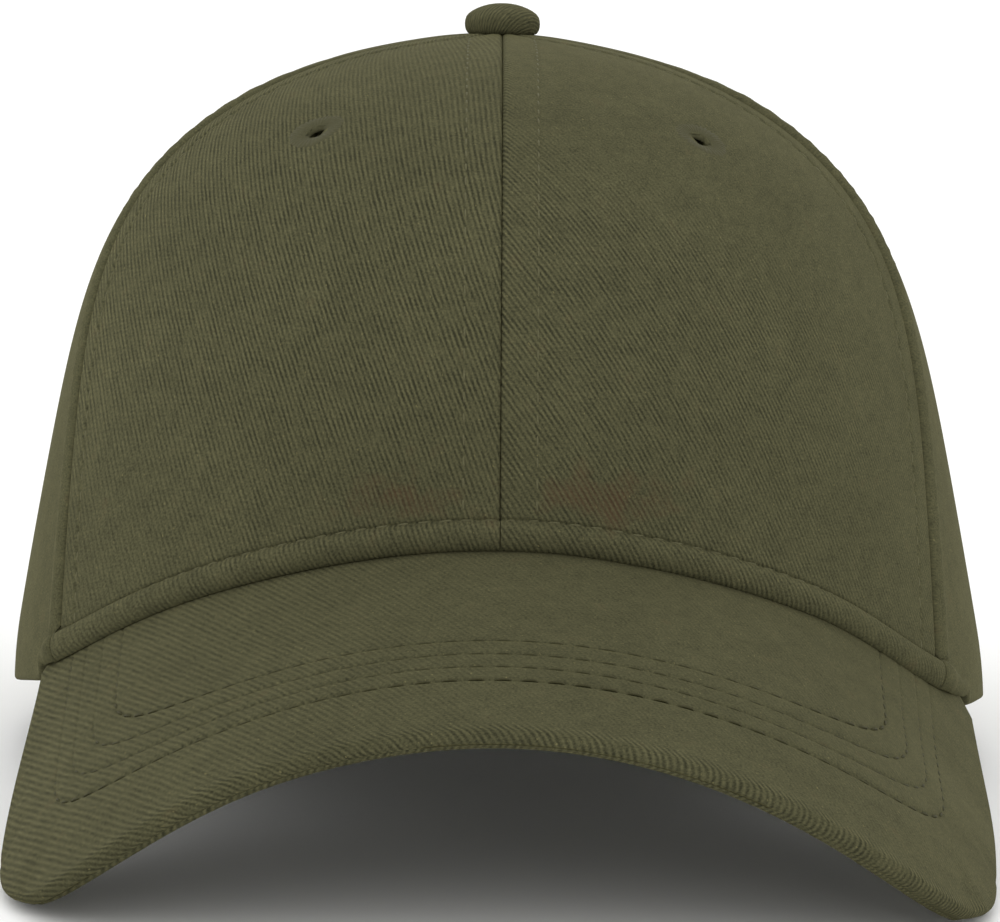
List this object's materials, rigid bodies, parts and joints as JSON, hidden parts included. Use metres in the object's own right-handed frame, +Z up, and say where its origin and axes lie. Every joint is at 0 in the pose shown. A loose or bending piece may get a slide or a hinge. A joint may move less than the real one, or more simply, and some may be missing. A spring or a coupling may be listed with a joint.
{
  "type": "six-panel cap",
  "caption": "Olive-green cotton twill cap with a stiffened crown, curved stitched peak, covered button, sewn eyelets and a closing strap across the back opening.",
  "frame": {"origin": "under the middle of the cap's bounding box, on the surface that it rests on", "axes": "+Z up from that surface; -Y is the way the peak points, +Y the back of the head; +X is the right of the cap seen from the front"},
  "size_m": [0.1716, 0.2698, 0.1304],
  "materials": {
    "crown_twill": "matt brushed cotton twill, olive green",
    "peak_twill": "matt cotton twill over a stiff board, olive green",
    "eyelet_thread": "close radial stitches of olive sewing thread",
    "sweatband_twill": "plain soft cotton twill, olive green"
  },
  "bodies": {
    "root": {"front_panel_right": "crown_twill", "side_panel_right": "crown_twill", "back_panel_right": "crown_twill", "back_panel_left": "crown_twill", "side_panel_left": "crown_twill", "front_panel_left": "crown_twill", "peak": "peak_twill", "button": "crown_twill", "eyelet_front_right": "eyelet_thread", "eyelet_side_right": "eyelet_thread", "eyelet_back_right": "eyelet_thread", "eyelet_back_left": "eyelet_thread", "eyelet_side_left": "eyelet_thread", "eyelet_front_left": "eyelet_thread", "sweatband": "sweatband_twill", "back_strap": "crown_twill"}
  },
  "joints": []
}
